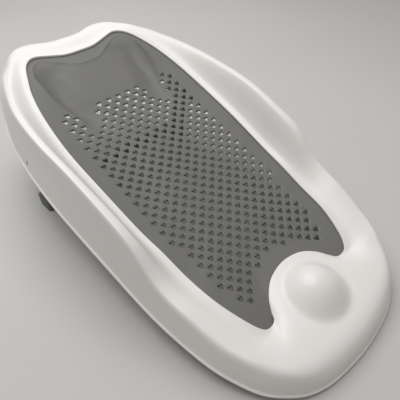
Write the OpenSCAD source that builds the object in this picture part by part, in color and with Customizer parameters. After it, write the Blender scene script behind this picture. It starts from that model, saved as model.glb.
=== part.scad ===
// Baby bath support: a moulded shell with a perforated seat panel and a folding rear stand.
// Millimetres. X is across, +Y runs from the foot end to the head end, +Z is up from the floor.

/* [Shell] */
// Wall thickness of the shell
wall = 3; // [2.4:0.1:3.6]
// Height of the shell's front edge above the floor
front_gap = 1.5; // [1:0.25:3]
// Rise of the bottom edge for each millimetre towards the head
lip_slope = 0.172; // [0.16:0.002:0.18]
// Rise of the seat opening for each millimetre towards the head
seat_slope = 0.351; // [0.34:0.001:0.36]

/* [Foot dome] */
// Radius of the dome at the foot end, with its fillet
dome_r = 41; // [36:1:43]
// Height of the dome above the platform
dome_h = 25; // [15:1:30]
// Distance of the dome's centre from the front edge
dome_y = 77; // [74:1:79]

/* [Seat panel] */
// Thickness of the seat panel
panel_t = 3; // [2:0.5:3]
// Depth of the panel's edge below the top of the shell's ledge
panel_inset = 3.6; // [3.5:0.1:3.8]

/* [Stand] */
// Height of the hinge axis above the floor
hinge_z = 100; // [98:1:102]
// Distance of the hinge axis from the front edge
hinge_y = 461; // [459:1:463]
// Backward lean of the unfolded legs, in degrees
leg_lean = 9; // [7:0.5:11]
// Width of a leg, seen from the side
leg_w = 24; // [20:1:24]
// Thickness of a leg across the part
leg_t = 14; // [12:1:14]
// Distance of a leg's outer face from the middle
leg_x = 140; // [138:1:140]
// Diameter of the hinge pins
pin_d = 6; // [5:0.5:7]
// Radial running clearance of the hinge pins
pin_play = 0.06; // [0.02:0.01:0.1]

/* [Front pads] */
// Diameter of a front pad
pad_d = 24; // [18:1:26]
// Thickness of a front pad
pad_h = 5; // [4:0.5:8]

/* [Hidden] */
$fn = 48;

shell_white = [0.93, 0.925, 0.905];
panel_grey = [0.47, 0.47, 0.46];
stand_grey = [0.38, 0.385, 0.38];
rubber_grey = [0.22, 0.22, 0.22];
frame_grey = [0.6, 0.6, 0.6];
steel = [0.72, 0.73, 0.75];

// Half of the shell as ribs from the foot to the head, one row each:
// seat opening x, y and lift, bottom edge x, y and lift, then along the rib from the opening,
// the inner and the outer shoulder of the rim as distance and height
RIBS = [
    [0, 129, 0, 0, 0, 0, 51, 42, 112, 35],
    [28, 124, 0, 34, 2, 0, 51, 42, 106, 35],
    [47, 112, 0, 65, 7, 0, 42, 42, 91, 36],
    [58, 99, 0, 91, 17, 0, 34, 42, 76, 38],
    [64, 90, 2, 110, 31, 0, 31, 42, 64, 42],
    [73, 87, 3, 127, 49, 0, 27, 44, 54, 47],
    [84, 90, 6, 139, 72, 0, 26, 49, 48, 54],
    [94, 107, 8, 150, 104, 0, 25, 58, 47, 62],
    [105, 142, 7, 157, 145, 0, 24, 71, 44, 77],
    [110, 181, 3, 161, 187, 0, 27, 87, 44, 92],
    [113, 221, 3, 162, 228, 0, 27, 122, 42, 128],
    [116, 259, 1, 162, 265, 0, 26, 141, 40, 144],
    [119, 323, 2, 162, 325, 0, 26, 161, 38, 163],
    [120, 387, 1, 161, 391, 0, 25, 172, 37, 173],
    [116, 442, 3, 157, 451, 0, 24, 181, 36, 181],
    [108, 483, 5, 150, 505, 3, 22, 190, 33, 188],
    [97, 511, 7, 141, 541, 8, 20, 197, 33, 193],
    [88, 529, 7, 128, 568, 15, 19, 202, 29, 195],
    [77, 540, 6, 111, 592, 22, 21, 203, 34, 198],
    [65, 543, 5, 86, 610, 27, 25, 204, 44, 200],
    [48, 539, 4, 58, 616, 30, 27, 203, 51, 200],
    [24, 533, 3, 28, 613, 30, 27, 201, 49, 198],
    [0, 532, 3, 0, 609, 30, 27, 201, 47, 198]];
// Signs that continue each column of the ribs across the middle plane
FLIP = [-1, 1, 1, -1, 1, 1, 1, 1, 1, 1];
last_rib = len(RIBS) - 1;
steps = 3;
shell_l = 616;
seat_z0 = 4;
seat_tilt = atan(seat_slope);
// Height of the flat of the seat panel at the front edge, and its rise towards the head
flat_z0 = -1.6;
flat_slope = 0.334;

function blend(a, b, f) = a + (b - a) * f;
function mirrored(row) = [for (c = [0:len(row) - 1]) row[c] * FLIP[c]];
function rib(i) =
    i < 0 ? mirrored(RIBS[-i]) : i > last_rib ? mirrored(RIBS[2 * last_rib - i]) : RIBS[i];
// The rib at any place s between the listed ones, on a smooth curve through them
function rib_at(s) =
    let (i = floor(s), t = s - i, a = rib(i - 1), b = rib(i), c = rib(i + 1), d = rib(i + 2))
    0.5 * (2 * b + (c - a) * t + (2 * a - 5 * b + 4 * c - d) * pow(t, 2)
        + (3 * b - a - 3 * c + d) * pow(t, 3));

function opening_z(r) = seat_slope * r[1] + seat_z0 + r[2];
function lip_z(r) = lip_slope * r[4] + front_gap + r[5];
function rib_w(r) = norm([r[3] - r[0], r[4] - r[1]]);

// A smooth curve that starts and ends on its first and last control points
function spline(p, n) =
    let (m = len(p))
    concat([p[0]], [for (i = [1:m - 2], j = [1:n])
        let (a = i == 1 ? p[0] : (p[i - 1] + p[i]) / 2, t = j / n)
        let (c = i == m - 2 ? p[m - 1] : (p[i] + p[i + 1]) / 2)
        a * (1 - t) * (1 - t) + p[i] * 2 * t * (1 - t) + c * t * t]);

// Control points of a rib's outer face: ledge, inner wall, rim, shoulder, skirt
function rib_controls(r) =
    let (z0 = opening_z(r), z1 = lip_z(r), w = rib_w(r), skirt = r[9] - z1)
    [[0, z0], [4, z0], [0.45 * r[6], z0 + 0.12 * (r[7] - z0)], [r[6], r[7]],
     [(r[6] + r[8]) / 2, (r[7] + r[9]) / 2 + 1], [r[8], r[9]],
     [w - 2 - min(5, 0.08 * skirt), r[9] - 0.34 * skirt - 2.5], [w - 3, z1 + 4.5], [w - 2.6, z1 + 3.4]];
function outer_face(r) = spline(rib_controls(r), 2);
// Place of the middle of the rim among a rib's outer face points
rim_mid = 7;
// The same curve moved into the wall by d
function moved_in(p, d) = [for (i = [0:len(p) - 1])
    let (a = p[max(i - 1, 0)], b = p[min(i + 1, len(p) - 1)], v = (b - a) / norm(b - a))
    p[i] + d * [v[1], -v[0]]];
function rib_loop(r) =
    let (out = outer_face(r), in = moved_in(out, wall), w = rib_w(r), z1 = lip_z(r), m = len(in) - 1)
    concat(out, [[w, z1 + 2.6], [w, z1], [w - 2.6 - wall, z1]], [for (i = [m:-1:0]) in[i]]);

// Height that the dome adds at a place in plan
function dome_rise(x, y) =
    let (d = norm([x, y - dome_y]) / dome_r)
    d < 1 ? dome_h * pow(1 - pow(d, 2.2), 1.4) : 0;
// A point of a rib, t along it and z high, on one side of the middle plane
function on_rib(r, t, z, side) =
    let (w = rib_w(r), x = r[0] + t * (r[3] - r[0]) / w, y = r[1] + t * (r[4] - r[1]) / w)
    [side * x, y, z];
// Unit vector out of the seat opening in plan
function outward(s) =
    let (v = rib_at(s + 0.1) - rib_at(s - 0.1))
    [v[1], -v[0]] / norm([v[0], v[1]]);
// A point d outside the opening and dz under its tilted plane
function beside(s, d, dz, side) =
    let (r = rib_at(s), n = outward(s))
    [side * (r[0] + d * n[0]), r[1] + d * n[1] + dz * sin(seat_tilt), opening_z(r) - dz * cos(seat_tilt)];
function domed(p) = p + [0, 0, dome_rise(p[0], p[1])];

half = last_rib * steps;
around = 2 * half;
// Ring place i, counted round the shell, as a place among the ribs and as a side
function place(i) = (i <= half ? i : around - i) / steps;
function side(i) = i <= half ? 1 : -1;

// Faces of a closed tube of n rings with m points each
function ring_faces(n, m) = [for (i = [0:n - 1], j = [0:m - 1], k = [0, 1])
    let (a = i * m + j, b = i * m + (j + 1) % m, c = (i + 1) % n * m + (j + 1) % m, d = (i + 1) % n * m + j)
    k == 0 ? [a, c, b] : [a, d, c]];

module in_frame() translate([0, -shell_l / 2, 0]) children();
module both_sides() {
    children();
    mirror([1, 0, 0]) children();
}

module shell_skin() {
    loops = [for (i = [0:around - 1]) let (r = rib_at(place(i))) [for (q = rib_loop(r))
        domed(on_rib(r, q[0], q[1], side(i)))]];
    polyhedron([for (l = loops) each l], ring_faces(around, len(loops[0])));
}
// Seat frame pegs: their places among the ribs and their distance from the opening
peg_places = [1.5, 5, 8.5, 10.8, 12.6, 14.4, 17, 20.5];
peg_t = 6.5;
peg_d = 5.5;
pilot_r = 1.2;
// Clearance of a screw in the piece it holds
screw_play = 0.3;
frame_t = 2.5;
frame_gap = 0.7;
frame_top = panel_inset + panel_t + frame_gap;
frame_low = frame_top + frame_t;
// Pegs stand a little proud of the frame, so that the screw heads hold it without biting
peg_end = frame_low + 1.6;
screw_l = 6;

module at_peg(s) translate(beside(s, peg_t, 0, 1)) rotate([seat_tilt, 0, 0]) children();
module peg(d, from, to) translate([0, 0, -to]) cylinder(d = d, h = to - from);

// Hinge bracket
cheek_t = 4;
cheek_gap = 0.5;
tab_h = 20;
// Room above the hinge axis for the leg's turning end and the screw heads
head_room = norm([leg_w / 2, tab_h]) + 3.5;
bracket_top = hinge_z + head_room + cheek_t;
bracket_front = 22;
bracket_back = 16;
cheek_drop = 12;
// Stop plate that the leg's end rests against
stop_t = 4;
stop_gap = 0.3;
stop_low = leg_w / 2 + 2;
bracket_mid = leg_x - leg_t / 2;
bracket_w = leg_t + 2 * (cheek_gap + cheek_t);
post_places = [14.15, 14.48];
post_d = 7;
post_in = 2;
// Head of the screw that goes up into a post
post_head_r = 3;
post_head_h = 2;
pilot_depth = 12;
// How far a post's top reaches into the wall above it
post_bite = 0.5;
skirt_hole_d = 10;
// The crest of the rim over a rib place, where a post stands
function crest(s) = let (r = rib_at(s), q = outer_face(r)[rim_mid]) on_rib(r, q[0], q[1], 1);
// A bracket post stands a little inward of the crest
function post_spot(s) = crest(s) - [post_in, 0, 0];
module post(s) let (c = post_spot(s)) difference() {
    translate([c[0], c[1], bracket_top])
        cylinder(d = post_d, h = c[2] - wall + post_bite - bracket_top);
    translate([c[0], c[1], bracket_top - 1]) cylinder(r = pilot_r, h = pilot_depth + 1);
}

// Front pad posts stand under the middle of the platform
pad_place = 2.5;
pad_post_d = 16;
stem_d = 8;
stem_h = 8;

module pad_post() let (c = crest(pad_place)) difference() {
    translate([c[0], c[1], pad_h]) cylinder(d = pad_post_d, h = c[2] - wall + post_bite - pad_h);
    translate([c[0], c[1], pad_h - 1]) cylinder(d = stem_d, h = stem_h + 1);
}

module shell() color(shell_white) in_frame() difference() {
    union() {
        shell_skin();
        both_sides() {
            for (s = peg_places) at_peg(s) difference() {
                peg(peg_d, wall / 2, peg_end);
                peg(2 * pilot_r, peg_end - screw_l, peg_end + 1);
            }
            for (s = post_places) post(s);
            pad_post();
        }
    }
    both_sides() translate([leg_x, hinge_y, hinge_z]) rotate([0, 90, 0])
        cylinder(d = skirt_hole_d, h = 2 * leg_t);
}

// Places across the panel, from the opening towards the middle
fan = [0.08, 0.2, 0.4, 0.7];
flange = 3;
// The point on the middle plane that a place of the opening runs to
function spine_y(s) = blend(190, 400, s / last_rib);
function flat_z(y) = flat_z0 + flat_slope * y;
function panel_point(s, sd, f) =
    let (r = rib_at(s), y = blend(r[1], spine_y(s), f), edge = opening_z(r) - panel_inset - flat_z(r[1]))
    [sd * r[0] * (1 - f), y, flat_z(y) + edge * pow(1 - f, 3)];

cols = len(fan) + 2;
// Index of ring k at place i, where the last ring is the shared middle line
function at(k, i) = let (j = i % around) k * around + (k < cols || j <= half ? j : around - j);

module seat_panel() color(panel_grey) in_frame() {
    edge = [for (i = [0:around - 1]) beside(place(i), flange, panel_inset, side(i))];
    rings = [for (f = concat([0], fan), i = [0:around - 1]) panel_point(place(i), side(i), f)];
    spine = [for (i = [0:half]) panel_point(place(i), 0, 1)];
    top = concat(edge, rings, spine);
    low = [for (p = top) p - [0, 0, panel_t]];
    n = len(top);
    faces_top = [for (k = [0:cols - 1], i = [0:around - 1], e = [0, 1])
        e == 0 ? [at(k, i), at(k + 1, i + 1), at(k, i + 1)] : [at(k, i), at(k + 1, i), at(k + 1, i + 1)]];
    faces_low = [for (f = faces_top) [f[2] + n, f[1] + n, f[0] + n]];
    rim = [for (i = [0:around - 1], e = [0, 1])
        e == 0 ? [at(0, i), at(0, i + 1) + n, at(0, i) + n] : [at(0, i), at(0, i + 1), at(0, i + 1) + n]];
    polyhedron(concat(top, low), concat(faces_top, faces_low, rim));
}

module panel_frame() color(frame_grey) in_frame() difference() {
    corners = [[-1, frame_top], [peg_t + 4, frame_top], [peg_t + 4, frame_low], [-1, frame_low]];
    loops = [for (i = [0:around - 1]) [for (q = corners) beside(place(i), q[0], q[1], side(i))]];
    polyhedron([for (l = loops) each l], ring_faces(around, 4));
    both_sides() for (s = peg_places) at_peg(s) peg(peg_d + 0.4, frame_top - 4, frame_low + 4);
}

module pan_screw(length, head_r, head_h) {
    cylinder(r = pilot_r, h = length);
    translate([0, 0, -head_h]) cylinder(r = head_r, h = head_h);
}

module frame_screws() color(steel) in_frame() both_sides() for (s = peg_places)
    at_peg(s) translate([0, 0, -peg_end]) pan_screw(screw_l, 3.6, 1.8);

module hinge_bracket() difference() {
    union() {
        for (x = [bracket_mid - bracket_w / 2, bracket_mid + bracket_w / 2 - cheek_t])
            translate([x, hinge_y - bracket_front, hinge_z - cheek_drop])
                cube([cheek_t, bracket_front + bracket_back, bracket_top - hinge_z + cheek_drop]);
        translate([bracket_mid - bracket_w / 2, hinge_y - bracket_front, bracket_top - cheek_t])
            cube([bracket_w, bracket_front + bracket_back, cheek_t]);
        leg_frame() translate([bracket_mid - bracket_w / 2, -leg_w / 2 - stop_gap - stop_t, stop_low])
            cube([bracket_w, stop_t, head_room + cheek_t - stop_low]);
    }
    translate([bracket_mid - bracket_w, hinge_y, hinge_z]) rotate([0, 90, 0])
        cylinder(d = pin_d, h = 2 * bracket_w);
    for (s = post_places) let (c = post_spot(s)) translate([c[0], c[1], bracket_top - cheek_t]) {
        translate([0, 0, -1]) cylinder(r = pilot_r + screw_play, h = cheek_t + 2);
        translate([0, 0, -post_head_h - screw_play])
            cylinder(r = post_head_r + screw_play, h = post_head_h + screw_play);
    }
}

module hinge_bracket_right() color(frame_grey) in_frame() hinge_bracket();
module hinge_bracket_left() color(frame_grey) in_frame() mirror([1, 0, 0]) hinge_bracket();

module bracket_screws() color(steel) in_frame() both_sides() for (s = post_places) let (c = post_spot(s))
    translate([c[0], c[1], bracket_top - cheek_t])
        pan_screw(cheek_t + pilot_depth - 2, post_head_r, post_head_h);

pin_in = bracket_mid - bracket_w / 2 - 1.5;
pin_out = bracket_mid + bracket_w / 2;
head_d = 9;
head_l = 6;

module hinge_pin() translate([pin_in, hinge_y, hinge_z]) rotate([0, 90, 0]) {
    cylinder(d = pin_d, h = pin_out - pin_in);
    translate([0, 0, pin_out - pin_in]) cylinder(d = head_d, h = head_l);
}

module hinge_pin_right() color(steel) in_frame() hinge_pin();
module hinge_pin_left() color(steel) in_frame() mirror([1, 0, 0]) hinge_pin();

// Leg, in its own frame with the hinge axis at the origin and the leg straight down
leg_len = 92;
bar_d = 16;
bar_down = 72;
module leg_outline(grow) {
    circle(d = leg_w + 2 * grow);
    translate([-leg_w / 2 - grow, 0]) square([leg_w + 2 * grow, tab_h]);
    polygon([[-leg_w / 2 - grow, 0], [leg_w / 2 + grow, 0], [leg_w / 2 - 1 + grow, -leg_len],
             [-leg_w / 2 + 1 - grow, -leg_len]]);
}
module leg_frame() translate([0, hinge_y, hinge_z]) rotate([leg_lean, 0, 0]) children();
module leg_slab(x, t) translate([x, 0, 0]) rotate([90, 0, 90]) linear_extrude(t) leg_outline(0);

module stand_frame() color(stand_grey) in_frame() leg_frame() difference() {
    union() {
        leg_slab(leg_x - leg_t, leg_t);
        leg_slab(-leg_x, leg_t);
        translate([-leg_x + leg_t / 2, 0, -bar_down]) rotate([0, 90, 0])
            cylinder(d = bar_d, h = 2 * leg_x - leg_t);
    }
    translate([-leg_x - 1, 0, 0]) rotate([0, 90, 0])
        cylinder(d = pin_d + 2 * pin_play, h = 2 * leg_x + 2);
}

// Shoe's wall around the leg, thicker on its outer side
shoe_wall = 2;
shoe_out = 6;
shoe_h = 20;
shoe_r = 4;
foot_y = hinge_y + (hinge_z - shoe_h / 2) * tan(leg_lean);
module rounded_rect(w, l, r) {
    square([w - 2 * r, l], center = true);
    square([w, l - 2 * r], center = true);
    for (x = [-1, 1], y = [-1, 1]) translate([x * (w / 2 - r), y * (l / 2 - r)]) circle(r = r);
}

module stand_shoe() difference() {
    translate([leg_x - leg_t / 2 + (shoe_out - shoe_wall) / 2, foot_y, 0]) linear_extrude(shoe_h)
        rounded_rect(leg_t + shoe_out + shoe_wall, leg_w + 2 * shoe_wall + 2, shoe_r);
    leg_frame() leg_slab(leg_x - leg_t, leg_t);
}

module stand_shoe_right() color(rubber_grey) in_frame() stand_shoe();
module stand_shoe_left() color(rubber_grey) in_frame() mirror([1, 0, 0]) stand_shoe();

module front_pad() let (c = crest(pad_place)) translate([c[0], c[1], 0]) {
    cylinder(d = pad_d, h = pad_h);
    cylinder(d = stem_d, h = pad_h + stem_h - 1);
}

module front_pad_right() color(rubber_grey) in_frame() front_pad();
module front_pad_left() color(rubber_grey) in_frame() mirror([1, 0, 0]) front_pad();

shell();
seat_panel();
panel_frame();
frame_screws();
hinge_bracket_left();
hinge_bracket_right();
bracket_screws();
hinge_pin_left();
hinge_pin_right();
stand_frame();
stand_shoe_left();
stand_shoe_right();
front_pad_left();
front_pad_right();
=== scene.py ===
"""Looks of a baby bath support: a moulded shell, a perforated seat panel and a folding stand.

Design sizes are in millimetres, with y counted from the foot end, as in the part's own source.
placed() turns them into the frame's metres.
"""
import math

import bmesh
import bpy
import numpy as np
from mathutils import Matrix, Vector
from mathutils.bvhtree import BVHTree
from mathutils.geometry import delaunay_2d_cdt


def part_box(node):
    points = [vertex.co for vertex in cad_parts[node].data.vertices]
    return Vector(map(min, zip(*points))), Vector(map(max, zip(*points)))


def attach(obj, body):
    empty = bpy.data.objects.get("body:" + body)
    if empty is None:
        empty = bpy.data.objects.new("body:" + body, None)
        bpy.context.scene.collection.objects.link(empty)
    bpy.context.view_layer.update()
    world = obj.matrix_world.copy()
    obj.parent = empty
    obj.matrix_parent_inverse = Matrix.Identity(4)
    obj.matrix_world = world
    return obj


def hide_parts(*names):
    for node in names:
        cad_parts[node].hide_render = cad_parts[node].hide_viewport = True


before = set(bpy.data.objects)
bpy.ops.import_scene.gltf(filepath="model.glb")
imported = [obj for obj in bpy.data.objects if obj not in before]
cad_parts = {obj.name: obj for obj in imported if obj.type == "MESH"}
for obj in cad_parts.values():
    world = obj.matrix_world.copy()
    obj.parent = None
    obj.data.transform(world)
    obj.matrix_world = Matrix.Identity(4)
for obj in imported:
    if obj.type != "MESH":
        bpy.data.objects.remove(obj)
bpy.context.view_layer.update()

MM = 0.001
shell_low, shell_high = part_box("shell")
pin_low, pin_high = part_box("hinge_pin_right")

# Shell
WALL = 3.0
# Bead along the bottom edge: how far it stands out and up
LIP_BEAD = 2.6
FRONT_GAP = 1.5
LIP_SLOPE = 0.172
SEAT_SLOPE = 0.351
SEAT_Z0 = 4.0
DOME_R, DOME_H, DOME_Y = 41.0, 25.0, 77.0
RIB_STEPS = 8
CURVE_STEPS = 8
# Half of the shell as ribs from the foot to the head: seat opening x, y and lift, bottom edge x, y
# and lift, then along the rib from the opening, the inner and outer shoulder as distance and height
RIBS = np.array([
    [0, 129, 0, 0, 0, 0, 51, 42, 112, 35],
    [28, 124, 0, 34, 2, 0, 51, 42, 106, 35],
    [47, 112, 0, 65, 7, 0, 42, 42, 91, 36],
    [58, 99, 0, 91, 17, 0, 34, 42, 76, 38],
    [64, 90, 2, 110, 31, 0, 31, 42, 64, 42],
    [73, 87, 3, 127, 49, 0, 27, 44, 54, 47],
    [84, 90, 6, 139, 72, 0, 26, 49, 48, 54],
    [94, 107, 8, 150, 104, 0, 25, 58, 47, 62],
    [105, 142, 7, 157, 145, 0, 24, 71, 44, 77],
    [110, 181, 3, 161, 187, 0, 27, 87, 44, 92],
    [113, 221, 3, 162, 228, 0, 27, 122, 42, 128],
    [116, 259, 1, 162, 265, 0, 26, 141, 40, 144],
    [119, 323, 2, 162, 325, 0, 26, 161, 38, 163],
    [120, 387, 1, 161, 391, 0, 25, 172, 37, 173],
    [116, 442, 3, 157, 451, 0, 24, 181, 36, 181],
    [108, 483, 5, 150, 505, 3, 22, 190, 33, 188],
    [97, 511, 7, 141, 541, 8, 20, 197, 33, 193],
    [88, 529, 7, 128, 568, 15, 19, 202, 29, 195],
    [77, 540, 6, 111, 592, 22, 21, 203, 34, 198],
    [65, 543, 5, 86, 610, 27, 25, 204, 44, 200],
    [48, 539, 4, 58, 616, 30, 27, 203, 51, 200],
    [24, 533, 3, 28, 613, 30, 27, 201, 49, 198],
    [0, 532, 3, 0, 609, 30, 27, 201, 47, 198]], float)
# Signs that turn a rib into its twin on the other side
FLIP = np.array([-1, 1, 1, -1, 1, 1, 1, 1, 1, 1], float)
LAST = len(RIBS) - 1
HALF = LAST * RIB_STEPS
AROUND = 2 * HALF

# Seat panel
PANEL_T = 3.0
PANEL_INSET = 3.6
FLANGE = 3.0
FLAT_Z0, FLAT_SLOPE = -1.6, 0.334
# Perforation: half the spacing across, the spacing along, and the row that the others count from
HOLE_X, HOLE_Y, HOLE_Y0 = 8.5, 8.06, 259.0
HOLE_W, HOLE_ROUND = 7.4, 0.35
FIRST_ROW, LAST_ROW, LAST_COL = -17, 23, 11
# First and last column that is pierced in the rows round the notch at the foot
FOOT_ROWS = {-14: (3, 9), -15: (6, 8), -16: (7, 9), -17: (8, 8)}
# Line towards which the panel's edge curves in: where it starts and how long it is
SPINE_FROM, SPINE_LENGTH = 190.0, 210.0
# Mesh of the panel: spacing, and how near to a line or a hole's middle it may come
GRID, CLEAR_BORDER, CLEAR_CREST = 4.0, 2.0, 4.5
CLEAR_HOLE, CREST_CLEAR_HOLE = 0.75 * HOLE_W, 0.8 * HOLE_W
# Head rest recess: half of its outline, from the notch at the head round to its neck
RECESS = [(0, 511), (15, 512), (28, 517), (42, 525), (55, 532), (66, 535), (77, 531), (84, 521),
          (88, 507), (88, 490), (86, 470), (79, 450), (72, 433), (71, 415), (72, 385)]
SIDE_WALL, HEAD_WALL = 26.0, 115.0
# Hollow inside the recess's sides: depth, width, and where it fades in and out
TROUGH, TROUGH_W = 6.0, 44.0
TROUGH_IN, TROUGH_OUT = (390, 450), (495, 530)
# Thin bead along the recess's edge, from where its neck ends
BEAD_H, BEAD_W, BEAD_FROM, BEAD_FULL = 0.8, 1.4, 425.0, 470.0
RECESS_FROM, RECESS_FULL = 440.0, 500.0
HEAD_END = (66, 505)

# Pegs under the ledge and posts over the hinge brackets, as places among the ribs
PEG_PLACES = [1.5, 5, 8.5, 10.8, 12.6, 14.4, 17, 20.5]
PEG_T, PEG_R, PEG_END = 6.5, 2.75, 11.4
POST_PLACES, POST_R, POST_IN = [14.15, 14.48], 3.5, 2.0
POST_BITE = 0.5
PAD_PLACE, PAD_POST_R, STEM_R, PAD_TOP = 2.5, 8.0, 4.0, 5.0
PILOT_R = 1.2
PEG_DEPTH, POST_DEPTH, PAD_DEPTH = 6, 12, 8
BOSS_CHAMFER = 0.4
SKIRT_HOLE_R, SKIRT_CUT = 5.0, 50.0


def placed(points):
    return (np.asarray(points, float) + (0, shell_low.y / MM, 0)) * MM


def smooth(t):
    t = np.clip(t, 0, 1)
    return t * t * (3 - 2 * t)


def through(a, b, c, d, t):
    """The place t of the way from b to c on a smooth curve through four points."""
    return 0.5 * (2 * b + (c - a) * t + (2 * a - 5 * b + 4 * c - d) * t**2
                  + (3 * b - a - 3 * c + d) * t**3)


def bent(a, b, c, t):
    """The place t of the way from a to c on a curve pulled towards b."""
    return a * (1 - t)**2 + b * 2 * t * (1 - t) + c * t * t


def add_piece(name, verts, faces, body, material, sharp=40):
    """A mesh piece in the frame's metres that rides on a body."""
    mesh = bpy.data.meshes.new(name)
    mesh.from_pydata([tuple(v) for v in verts], [], [tuple(f) for f in faces])
    piece = bpy.data.objects.new(name, mesh)
    bpy.context.scene.collection.objects.link(piece)
    finish_mesh(piece, sharp)
    mesh.materials.append(material)
    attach(piece, body)
    return piece


def finish_mesh(piece, sharp):
    bm = bmesh.new()
    bm.from_mesh(piece.data)
    bmesh.ops.recalc_face_normals(bm, faces=bm.faces)
    bm.to_mesh(piece.data)
    bm.free()
    piece.data.shade_smooth()
    piece.data.set_sharp_from_angle(angle=math.radians(sharp))


# ---- Ribs ----

def rib(i):
    if i < 0:
        return RIBS[-i] * FLIP
    return RIBS[2 * LAST - i] * FLIP if i > LAST else RIBS[i]


def rib_at(s):
    i = math.floor(s)
    t = s - i
    return through(rib(i - 1), rib(i), rib(i + 1), rib(i + 2), t)


def opening_z(r):
    return SEAT_SLOPE * r[1] + SEAT_Z0 + r[2]


def lip_z(r):
    return LIP_SLOPE * r[4] + FRONT_GAP + r[5]


def rib_w(r):
    return math.hypot(r[3] - r[0], r[4] - r[1])


def spline(controls, n):
    """A smooth curve that starts and ends on its first and last control points."""
    p = np.array(controls, float)
    m = len(p)
    out = [p[0]]
    for i in range(1, m - 1):
        a = p[0] if i == 1 else (p[i - 1] + p[i]) / 2
        c = p[-1] if i == m - 2 else (p[i] + p[i + 1]) / 2
        for j in range(1, n + 1):
            out.append(bent(a, p[i], c, j / n))
    return np.array(out)


def outer_face(r, n=CURVE_STEPS):
    z0, z1, w = opening_z(r), lip_z(r), rib_w(r)
    skirt = r[9] - z1
    return spline([
        (0, z0), (4, z0), (0.45 * r[6], z0 + 0.12 * (r[7] - z0)), (r[6], r[7]),
        ((r[6] + r[8]) / 2, (r[7] + r[9]) / 2 + 1), (r[8], r[9]),
        (w - 2 - min(5, 0.08 * skirt), r[9] - 0.34 * skirt - 2.5), (w - 3, z1 + 4.5),
        (w - LIP_BEAD, z1 + 3.4)], n)


def moved_in(p, d):
    v = np.vstack([p[1:], p[-1:]]) - np.vstack([p[:1], p[:-1]])
    v /= np.linalg.norm(v, axis=1)[:, None]
    return p + d * np.stack([v[:, 1], -v[:, 0]], 1)


def corner(before, at, after, reach):
    """Four points that round a corner off, reach millimetres along each side."""
    at = np.array(at, float)
    a = at + (before - at) / np.linalg.norm(before - at) * reach
    c = at + (after - at) / np.linalg.norm(after - at) * reach
    return [bent(a, at, c, t) for t in (0, 1 / 3, 2 / 3, 1)]


def rib_loop(r):
    """A rib's section: outer face, bead along the bottom edge, inner face, ledge edge."""
    out = outer_face(r)
    inner = moved_in(out, WALL)
    w, z1 = rib_w(r), lip_z(r)
    bead_top, bead_low = np.array([w, z1 + LIP_BEAD]), np.array([w, z1])
    bead_in = np.array([w - LIP_BEAD - WALL, z1])
    loop = corner(inner[0], out[0], out[1], 1.0)
    loop += list(out[1:])
    loop += corner(out[-1], bead_top, bead_low, 0.8)
    loop += corner(bead_top, bead_low, bead_in, 0.8)
    loop += corner(bead_low, bead_in, inner[-1], 0.6)
    loop += list(inner[:0:-1])
    loop += corner(inner[1], inner[0], out[0], 0.6)
    return loop


def on_rib(r, t, z, side):
    w = rib_w(r)
    return [side * (r[0] + t * (r[3] - r[0]) / w), r[1] + t * (r[4] - r[1]) / w, z]


def outward(s):
    v = rib_at(s + 0.1) - rib_at(s - 0.1)
    return np.array([v[1], -v[0]]) / math.hypot(v[0], v[1])


def beside(s, d, dz, side):
    """A point d outside the seat opening and dz under its tilted plane."""
    r, n, tilt = rib_at(s), outward(s), math.atan(SEAT_SLOPE)
    x, y = r[0] + d * n[0], r[1] + d * n[1]
    return [side * x, y + dz * math.sin(tilt), opening_z(r) - dz * math.cos(tilt)]


def dome_rise(x, y):
    d = math.hypot(x, y - DOME_Y) / DOME_R
    return DOME_H * (1 - d**2.2)**1.4 if d < 1 else 0.0


def places(steps=RIB_STEPS):
    """Each place round the shell, with its side."""
    half = LAST * steps
    return [((i if i <= half else 2 * half - i) / steps, 1 if i <= half else -1) for i in range(2 * half)]


# ---- Materials ----

def node_material(name, roughness, colour_a, colour_b, patch, grain, bump, coat=0.0, metallic=0.0):
    """Moulded or plain surface: colour and gloss vary in soft patches, over a fine bumped grain."""
    material = bpy.data.materials.new(name)
    material.use_nodes = True
    nodes, links = material.node_tree.nodes, material.node_tree.links
    shader = nodes["Principled BSDF"]
    shader.inputs["Metallic"].default_value = metallic
    shader.inputs["Coat Weight"].default_value = coat
    shader.inputs["Coat Roughness"].default_value = 0.25
    where = nodes.new("ShaderNodeTexCoord")

    broad = nodes.new("ShaderNodeTexNoise")
    broad.inputs["Scale"].default_value = patch
    broad.inputs["Detail"].default_value = 4
    links.new(where.outputs["Object"], broad.inputs["Vector"])
    ramp = nodes.new("ShaderNodeValToRGB")
    ramp.color_ramp.elements[0].position, ramp.color_ramp.elements[1].position = 0.3, 0.7
    ramp.color_ramp.elements[0].color = (*colour_a, 1)
    ramp.color_ramp.elements[1].color = (*colour_b, 1)
    links.new(broad.outputs["Fac"], ramp.inputs["Fac"])
    links.new(ramp.outputs["Color"], shader.inputs["Base Color"])
    gloss = nodes.new("ShaderNodeMapRange")
    gloss.inputs["To Min"].default_value = roughness - 0.05
    gloss.inputs["To Max"].default_value = roughness + 0.05
    links.new(broad.outputs["Fac"], gloss.inputs["Value"])
    links.new(gloss.outputs["Result"], shader.inputs["Roughness"])

    fine = nodes.new("ShaderNodeTexNoise")
    fine.inputs["Scale"].default_value = grain
    fine.inputs["Detail"].default_value = 3
    links.new(where.outputs["Object"], fine.inputs["Vector"])
    relief = nodes.new("ShaderNodeBump")
    relief.inputs["Strength"].default_value = bump
    relief.inputs["Distance"].default_value = 0.0003
    links.new(fine.outputs["Fac"], relief.inputs["Height"])
    links.new(relief.outputs["Normal"], shader.inputs["Normal"])
    return material


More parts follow.
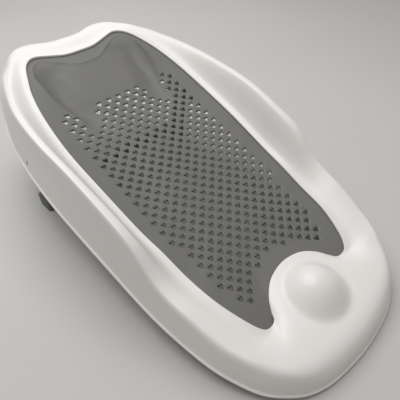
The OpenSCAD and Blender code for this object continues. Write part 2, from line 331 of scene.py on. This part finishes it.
white_plastic = node_material("white_plastic", 0.38, (0.80, 0.79, 0.765), (0.83, 0.82, 0.795), 9, 900,
                              0.12, coat=0.08)
grey_panel = node_material("grey_panel", 0.62, (0.145, 0.144, 0.138), (0.162, 0.161, 0.155), 14, 1400, 0.35)
frame_plastic = node_material("frame_plastic", 0.55, (0.30, 0.30, 0.295), (0.33, 0.33, 0.325), 20, 1200, 0.25)
stand_plastic = node_material("stand_plastic", 0.5, (0.16, 0.16, 0.155), (0.18, 0.18, 0.175), 20, 1200, 0.3)
dark_rubber = node_material("dark_rubber", 0.8, (0.15, 0.15, 0.145), (0.17, 0.17, 0.165), 30, 1800, 0.5)
steel = node_material("steel", 0.32, (0.56, 0.57, 0.58), (0.64, 0.65, 0.66), 60, 2500, 0.1, metallic=1.0)


# ---- Shell ----

def shell_mesh():
    loops = []
    for s, side in places():
        r = rib_at(s)
        ring = [on_rib(r, t, z, side) for t, z in rib_loop(r)]
        loops.append([(x, y, z + dome_rise(x, y)) for x, y, z in ring])
    m = len(loops[0])
    faces = []
    for i in range(AROUND):
        for j in range(m):
            k, n = (i + 1) % AROUND, (j + 1) % m
            faces.append((i * m + j, i * m + n, k * m + n, k * m + j))
    return placed([p for ring in loops for p in ring]), faces


def cut_round_holes(piece, centres, radius, length):
    """Holes along X through the piece."""
    for centre in centres:
        bpy.ops.mesh.primitive_cylinder_add(vertices=64, radius=radius, depth=length, location=centre,
                                            rotation=(0, math.pi / 2, 0))
        cutter = bpy.context.object
        cut = piece.modifiers.new("hole", "BOOLEAN")
        cut.object, cut.solver = cutter, "EXACT"
        evaluated = piece.evaluated_get(bpy.context.evaluated_depsgraph_get())
        piece.data = bpy.data.meshes.new_from_object(evaluated)
        piece.modifiers.clear()
        bpy.data.objects.remove(cutter)


def turned(centre, axis, profile, sides=40):
    """Vertices and faces of a closed profile of (radius, distance along the axis) turned round it."""
    axis = Vector(axis).normalized()
    across = axis.orthogonal().normalized()
    over = axis.cross(across)
    verts = []
    for i in range(sides):
        a = 2 * math.pi * i / sides
        for radius, along in profile:
            spoke = across * math.cos(a) + over * math.sin(a)
            verts.append(Vector(centre) + axis * along + spoke * radius)
    m = len(profile)
    faces = [(i * m + j, i * m + (j + 1) % m, (i + 1) % sides * m + (j + 1) % m, (i + 1) % sides * m + j)
             for i in range(sides) for j in range(m)]
    return verts, faces


def bosses():
    """Pegs, hinge posts and pad posts under the shell, each a tube closed at its upper end."""
    verts, faces = [], []

    def add(centre, axis, outer, inner, length, depth):
        profile = [(inner, 0), (outer - BOSS_CHAMFER, 0), (outer, BOSS_CHAMFER), (outer, length),
                   (0.01, length), (0.01, depth), (inner, depth)]
        v, f = turned(centre, axis, profile)
        faces.extend([tuple(i + len(verts) for i in q) for q in f])
        verts.extend(v)

    tilt = math.atan(SEAT_SLOPE)
    up = (0, -math.sin(tilt), math.cos(tilt))
    bracket_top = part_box("hinge_bracket_right")[1].z / MM
    for side in (-1, 1):
        for s in PEG_PLACES:
            add(beside(s, PEG_T, PEG_END, side), up, PEG_R, PILOT_R, PEG_END - WALL / 2,
                PEG_DEPTH)
        for s in POST_PLACES:
            x, y, z = crest(s, side)
            length = z - WALL + POST_BITE - bracket_top
            add((x - side * POST_IN, y, bracket_top), (0, 0, 1), POST_R, PILOT_R, length, POST_DEPTH)
        x, y, z = crest(PAD_PLACE, side)
        length = z - WALL + POST_BITE - PAD_TOP
        add((x, y, PAD_TOP), (0, 0, 1), PAD_POST_R, STEM_R, length, PAD_DEPTH)
    return placed(verts), faces


def crest(s, side):
    """The rim's highest part at a place, on the outer face."""
    r = rib_at(s)
    t, z = outer_face(r, 2)[7]
    return on_rib(r, t, z, side)


verts, faces = shell_mesh()
shell = add_piece("shell_skin", verts, faces, "support", white_plastic)
pin_y, pin_z = (pin_low.y + pin_high.y) / 2, (pin_low.z + pin_high.z) / 2
hole_x = shell_high.x
cut_round_holes(shell, [(hole_x, pin_y, pin_z), (-hole_x, pin_y, pin_z)], SKIRT_HOLE_R * MM,
                SKIRT_CUT * MM)
shell.data.shade_smooth()
shell.data.set_sharp_from_angle(angle=math.radians(40))
verts, faces = bosses()
shell_bosses = add_piece("shell_bosses", verts, faces, "support", white_plastic)
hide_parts("shell")


# ---- Seat panel ----

def flat_z(y):
    return FLAT_Z0 + FLAT_SLOPE * y


def curve_through(points, n):
    """A smooth curve through points, with n steps between two of them."""
    p = [np.array(q, float) for q in points]
    p = [2 * p[0] - p[1]] + p + [2 * p[-1] - p[-2]]
    out = []
    for a, b, c, d in zip(p, p[1:], p[2:], p[3:]):
        for j in range(n):
            out.append(through(a, b, c, d, j / n))
    return np.array(out + [p[-2]])


half_recess = curve_through(RECESS, 6)
recess_line = np.vstack([half_recess[::-1], half_recess[1:] * (-1, 1)])
middles = (recess_line[:-1] + recess_line[1:]) / 2
head_part = (abs(middles[:, 0]) < HEAD_END[0]) & (middles[:, 1] > HEAD_END[1])


def inside(line, x, y):
    """Whether a place lies inside a closed line."""
    a, b = line, np.roll(line, -1, 0)
    ab = b - a
    crosses = (a[:, 1] > y) != (b[:, 1] > y)
    x_at = a[:, 0] + (y - a[:, 1]) * ab[:, 0] / np.where(ab[:, 1] == 0, 1e-9, ab[:, 1])
    return (crosses & (x_at > x)).sum() % 2 == 1


def in_recess(x, y):
    """Distances in millimetres from the recess's sides and from its head end, negative outside it."""
    a, b = recess_line[:-1], recess_line[1:]
    p = np.array([x, y])
    ab, ap = b - a, p - a
    t = np.clip((ap * ab).sum(1) / (ab * ab).sum(1), 0, 1)
    distance = np.sqrt(((ap - ab * t[:, None])**2).sum(1))
    sign = 1 if inside(recess_line, x, y) else -1
    return sign * distance[~head_part].min(), sign * distance[head_part].min()


def wall_profile(depth, width):
    """Share of the full height left at a depth inside the recess, over a wall of that width."""
    u = min(max(depth / width, 0), 1)
    return (1 - u)**2 * (1 + 0.8 * u)


def panel_rise(x, y, near_edge, full):
    """Height over the flat. The plain panel curves up at its edge. Round the recess it keeps its full
    rise, and inside it falls away over the walls into a shallow trough."""
    if y < TROUGH_IN[0]:
        return full * near_edge
    from_side, from_end = in_recess(x, y)
    head = smooth((y - RECESS_FROM) / (RECESS_FULL - RECESS_FROM))
    fades = [smooth((y - a) / (b - a)) for a, b in (TROUGH_IN, TROUGH_OUT)]
    v = min(max(from_side / TROUGH_W, 0), 1)
    trough = TROUGH * 6.75 * v * (1 - v)**2 * fades[0] * (1 - fades[1])
    sides = (1 - head) * near_edge + head * wall_profile(from_side, SIDE_WALL)
    inward = max(head, smooth(from_side / SIDE_WALL)) if from_side > 0 else 0
    end = inward * wall_profile(from_end, HEAD_WALL)
    bead = BEAD_H * math.exp(-(min(from_side, from_end, key=abs) / BEAD_W)**2)
    bead_share = smooth((y - BEAD_FROM) / (BEAD_FULL - BEAD_FROM))
    return full * (1 - (1 - sides) * (1 - end)) - trough + bead * bead_share


def edge_surface():
    """Two sheets over the panel's plan: how near the edge a place is, and the full rise there."""
    shares = np.concatenate([[-0.12, 0, 0.03, 0.06], np.linspace(0.1, 1, 19)])
    near, full, quads = [], [], []
    ring = places(4)
    for f in shares:
        for s, side in ring:
            r = rib_at(s)
            spine = SPINE_FROM + SPINE_LENGTH * s / LAST
            x, y = side * r[0] * (1 - f), r[1] + (spine - r[1]) * f
            near.append((x, y, min((1 - f)**3, 1)))
            full.append((x, y, opening_z(r) - PANEL_INSET - flat_z(r[1])))
    n = len(ring)
    for k in range(len(shares) - 1):
        for i in range(n):
            quads.append((k * n + i, k * n + (i + 1) % n, (k + 1) * n + (i + 1) % n, (k + 1) * n + i))
    return BVHTree.FromPolygons(near, quads), BVHTree.FromPolygons(full, quads)


near_tree, full_tree = edge_surface()


def looked_up(tree, x, y):
    hit = tree.ray_cast(Vector((x, y, 1000)), Vector((0, 0, -1)))[0]
    if hit is None:
        hit = tree.find_nearest(Vector((x, y, 1)))[0]
    return hit.z


def panel_z(x, y):
    return flat_z(y) + panel_rise(x, y, looked_up(near_tree, x, y), looked_up(full_tree, x, y))


def has_hole(col, row):
    """Whether the panel is pierced at a lattice place, with rows counted towards the head."""
    a = abs(col)
    if (a + row) % 2 == 0:
        return False
    if row >= 19:
        return a <= 5 or a >= 9 or (row == 19 and a == 6)
    if row >= -4:
        return True
    if row >= -13:
        return a <= 10
    least, most = FOOT_ROWS[row]
    return least <= a <= most


def hole_outline(cx, cy, grow):
    """A small heart with its tip towards the foot, grown outwards by grow."""
    lobe = HOLE_W / 4
    side = [(0, 0.62 * lobe), (0.45 * lobe, 1.42 * lobe), (1.15 * lobe, 1.62 * lobe),
            (1.9 * lobe, 1.1 * lobe), (1.95 * lobe, 0.2 * lobe), (1.2 * lobe, -0.9 * lobe),
            (0.35 * lobe, -1.75 * lobe), (0, -2.0 * lobe)]
    half = curve_through(side, 2)
    loop = np.vstack([half, half[-2:0:-1] * (-1, 1)])
    v = np.roll(loop, -1, 0) - np.roll(loop, 1, 0)
    v /= np.linalg.norm(v, axis=1)[:, None]
    return loop + grow * np.stack([-v[:, 1], v[:, 0]], 1) + (cx, cy)


def border_line():
    return np.array([beside(s, FLANGE, PANEL_INSET, side)[:2] for s, side in places(5)])


def gap(points, x, y):
    """Distance from a place to the nearest of the points."""
    return np.hypot(points[:, 0] - x, points[:, 1] - y).min()


def seat_panel_mesh():
    border = border_line()
    centres = [(col * HOLE_X, HOLE_Y0 + HOLE_Y * row)
               for row in range(FIRST_ROW, LAST_ROW + 1)
               for col in range(-LAST_COL, LAST_COL + 1) if has_hole(col, row)]
    holes = [hole_outline(x, y, HOLE_ROUND) for x, y in centres]
    points, edges = [], []
    for line in [border] + holes:
        start = len(points)
        points.extend(line)
        edges.extend((start + i, start + (i + 1) % len(line)) for i in range(len(line)))
    grid = []
    taken = np.array(centres)
    for y in np.arange(90, 545, GRID):
        for x in np.arange(-120, 121, GRID):
            near_hole = gap(taken, x, y) < CLEAR_HOLE
            near_border = gap(border, x, y) < CLEAR_BORDER
            near_crest = y > BEAD_FROM and gap(recess_line, x, y) < CLEAR_CREST
            if inside(border, x, y) and not (near_hole or near_border or near_crest):
                grid.append((x, y))
    along = np.gradient(recess_line, axis=0)
    across = np.stack([-along[:, 1], along[:, 0]], 1) / np.linalg.norm(along, axis=1)[:, None]
    crest_points = [tuple(q) for d in (-3, -1.5, -0.7, 0, 0.7, 1.5, 3) for q in recess_line + d * across
                    if q[1] > BEAD_FROM and gap(taken, *q) > CREST_CLEAR_HOLE]
    points.extend(grid + crest_points)
    flat, _, tris, came_from, _, _ = delaunay_2d_cdt([Vector(p) for p in points], edges, [], 0, 1e-5, True)
    top = [(p.x, p.y, panel_z(p.x, p.y)) for p in flat]
    place_of = {source: i for i, sources in enumerate(came_from) for source in sources}
    owner = {}
    start = len(border)
    for k, hole in enumerate(holes):
        owner.update({place_of[start + i]: k for i in range(len(hole))})
        start += len(hole)

    def is_solid(tri):
        middle = sum((flat[i] for i in tri), Vector((0, 0))) / 3
        owners = {owner.get(i) for i in tri}
        if len(owners) == 1 and None not in owners and inside(holes[owners.pop()], middle.x, middle.y):
            return False
        return inside(border, middle.x, middle.y)

    tris = [tri for tri in tris if is_solid(tri)]
    n = len(top)
    verts = top + [(x, y, z - PANEL_T) for x, y, z in top]
    faces = [tuple(f) for f in tris] + [tuple(n + i for i in reversed(f)) for f in tris]
    start = len(border)
    outer = [place_of[i] for i in range(start)]
    for a, b in zip(outer, outer[1:] + outer[:1]):
        faces.append((a, b, n + b, n + a))
    for centre, hole in zip(centres, holes):
        ring = [place_of[start + i] for i in range(len(hole))]
        start += len(hole)
        wall = hole_outline(*centre, 0)
        first = len(verts)
        verts += [(x, y, top[ring[i]][2] - HOLE_ROUND) for i, (x, y) in enumerate(wall)]
        verts += [(x, y, top[ring[i]][2] - PANEL_T + HOLE_ROUND) for i, (x, y) in enumerate(wall)]
        m = len(hole)
        levels = [ring, list(range(first, first + m)), list(range(first + m, first + 2 * m)),
                  [n + i for i in ring]]
        for high, low in zip(levels, levels[1:]):
            faces += [(high[i], low[i], low[(i + 1) % m], high[(i + 1) % m]) for i in range(m)]
    return placed(verts), faces


verts, faces = seat_panel_mesh()
panel = add_piece("seat_sheet", verts, faces, "support", grey_panel, sharp=50)
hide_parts("seat_panel")


# ---- CAD pieces that keep their shape ----

FINISHES = {"panel_frame": frame_plastic, "frame_screws": steel, "bracket_screws": steel,
            "hinge_bracket_left": frame_plastic, "hinge_bracket_right": frame_plastic,
            "hinge_pin_left": steel, "hinge_pin_right": steel, "stand_frame": stand_plastic,
            "stand_shoe_left": dark_rubber, "stand_shoe_right": dark_rubber,
            "front_pad_left": dark_rubber, "front_pad_right": dark_rubber}
EDGES = {"stand_frame": 0.002, "hinge_bracket_left": 0.0006, "hinge_bracket_right": 0.0006,
         "stand_shoe_left": 0.0015, "stand_shoe_right": 0.0015,
         "front_pad_left": 0.001, "front_pad_right": 0.001}
for name, material in FINISHES.items():
    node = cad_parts[name]
    node.data.materials.clear()
    node.data.materials.append(material)
    if name in EDGES:
        bevel = node.modifiers.new("soft_edges", "BEVEL")
        bevel.width, bevel.segments, bevel.limit_method = EDGES[name], 3, "ANGLE"
        bevel.angle_limit = math.radians(35)


# ---- Stage, light and camera ----

CAMERA_AT = Vector((-0.28594, -0.32353, 0.44876))
CAMERA_LOOKS = Vector((0.505, 0.512, -0.695))
SENSOR, LENS = 36, 35.94


def aim(thing, direction):
    thing.rotation_mode = "QUATERNION"
    thing.rotation_quaternion = Vector(direction).to_track_quat("-Z", "Y")


def area_light(name, at, target, size, power):
    data = bpy.data.lights.new(name, "AREA")
    data.shape, data.size, data.energy = "SQUARE", size, power
    light = bpy.data.objects.new(name, data)
    bpy.context.scene.collection.objects.link(light)
    light.location = at
    aim(light, Vector(target) - Vector(at))


def stage():
    bpy.ops.mesh.primitive_plane_add(size=6, location=(0, 0, 0))
    floor = bpy.context.object
    floor.name = "floor"
    material = node_material("floor_card", 0.75, (0.55, 0.545, 0.535), (0.57, 0.565, 0.555), 3, 300, 0.05)
    floor.data.materials.append(material)


stage()
area_light("top", (-0.05, 0.4, 1.45), (0, 0, 0.1), 1.3, 18)
area_light("back", (0.6, 1.5, 1.0), (0, 0, 0.1), 1.2, 3)
world = bpy.data.worlds.new("studio")
bpy.context.scene.world = world
world.use_nodes = True
world.node_tree.nodes["Background"].inputs["Color"].default_value = (1.0, 0.97, 0.93, 1)
world.node_tree.nodes["Background"].inputs["Strength"].default_value = 0.33

camera_data = bpy.data.cameras.new("camera")
camera_data.sensor_width, camera_data.lens = SENSOR, LENS
camera = bpy.data.objects.new("camera", camera_data)
bpy.context.scene.collection.objects.link(camera)
camera.location = CAMERA_AT
aim(camera, CAMERA_LOOKS)
bpy.context.scene.camera = camera
bpy.context.scene.view_settings.view_transform = "Standard"
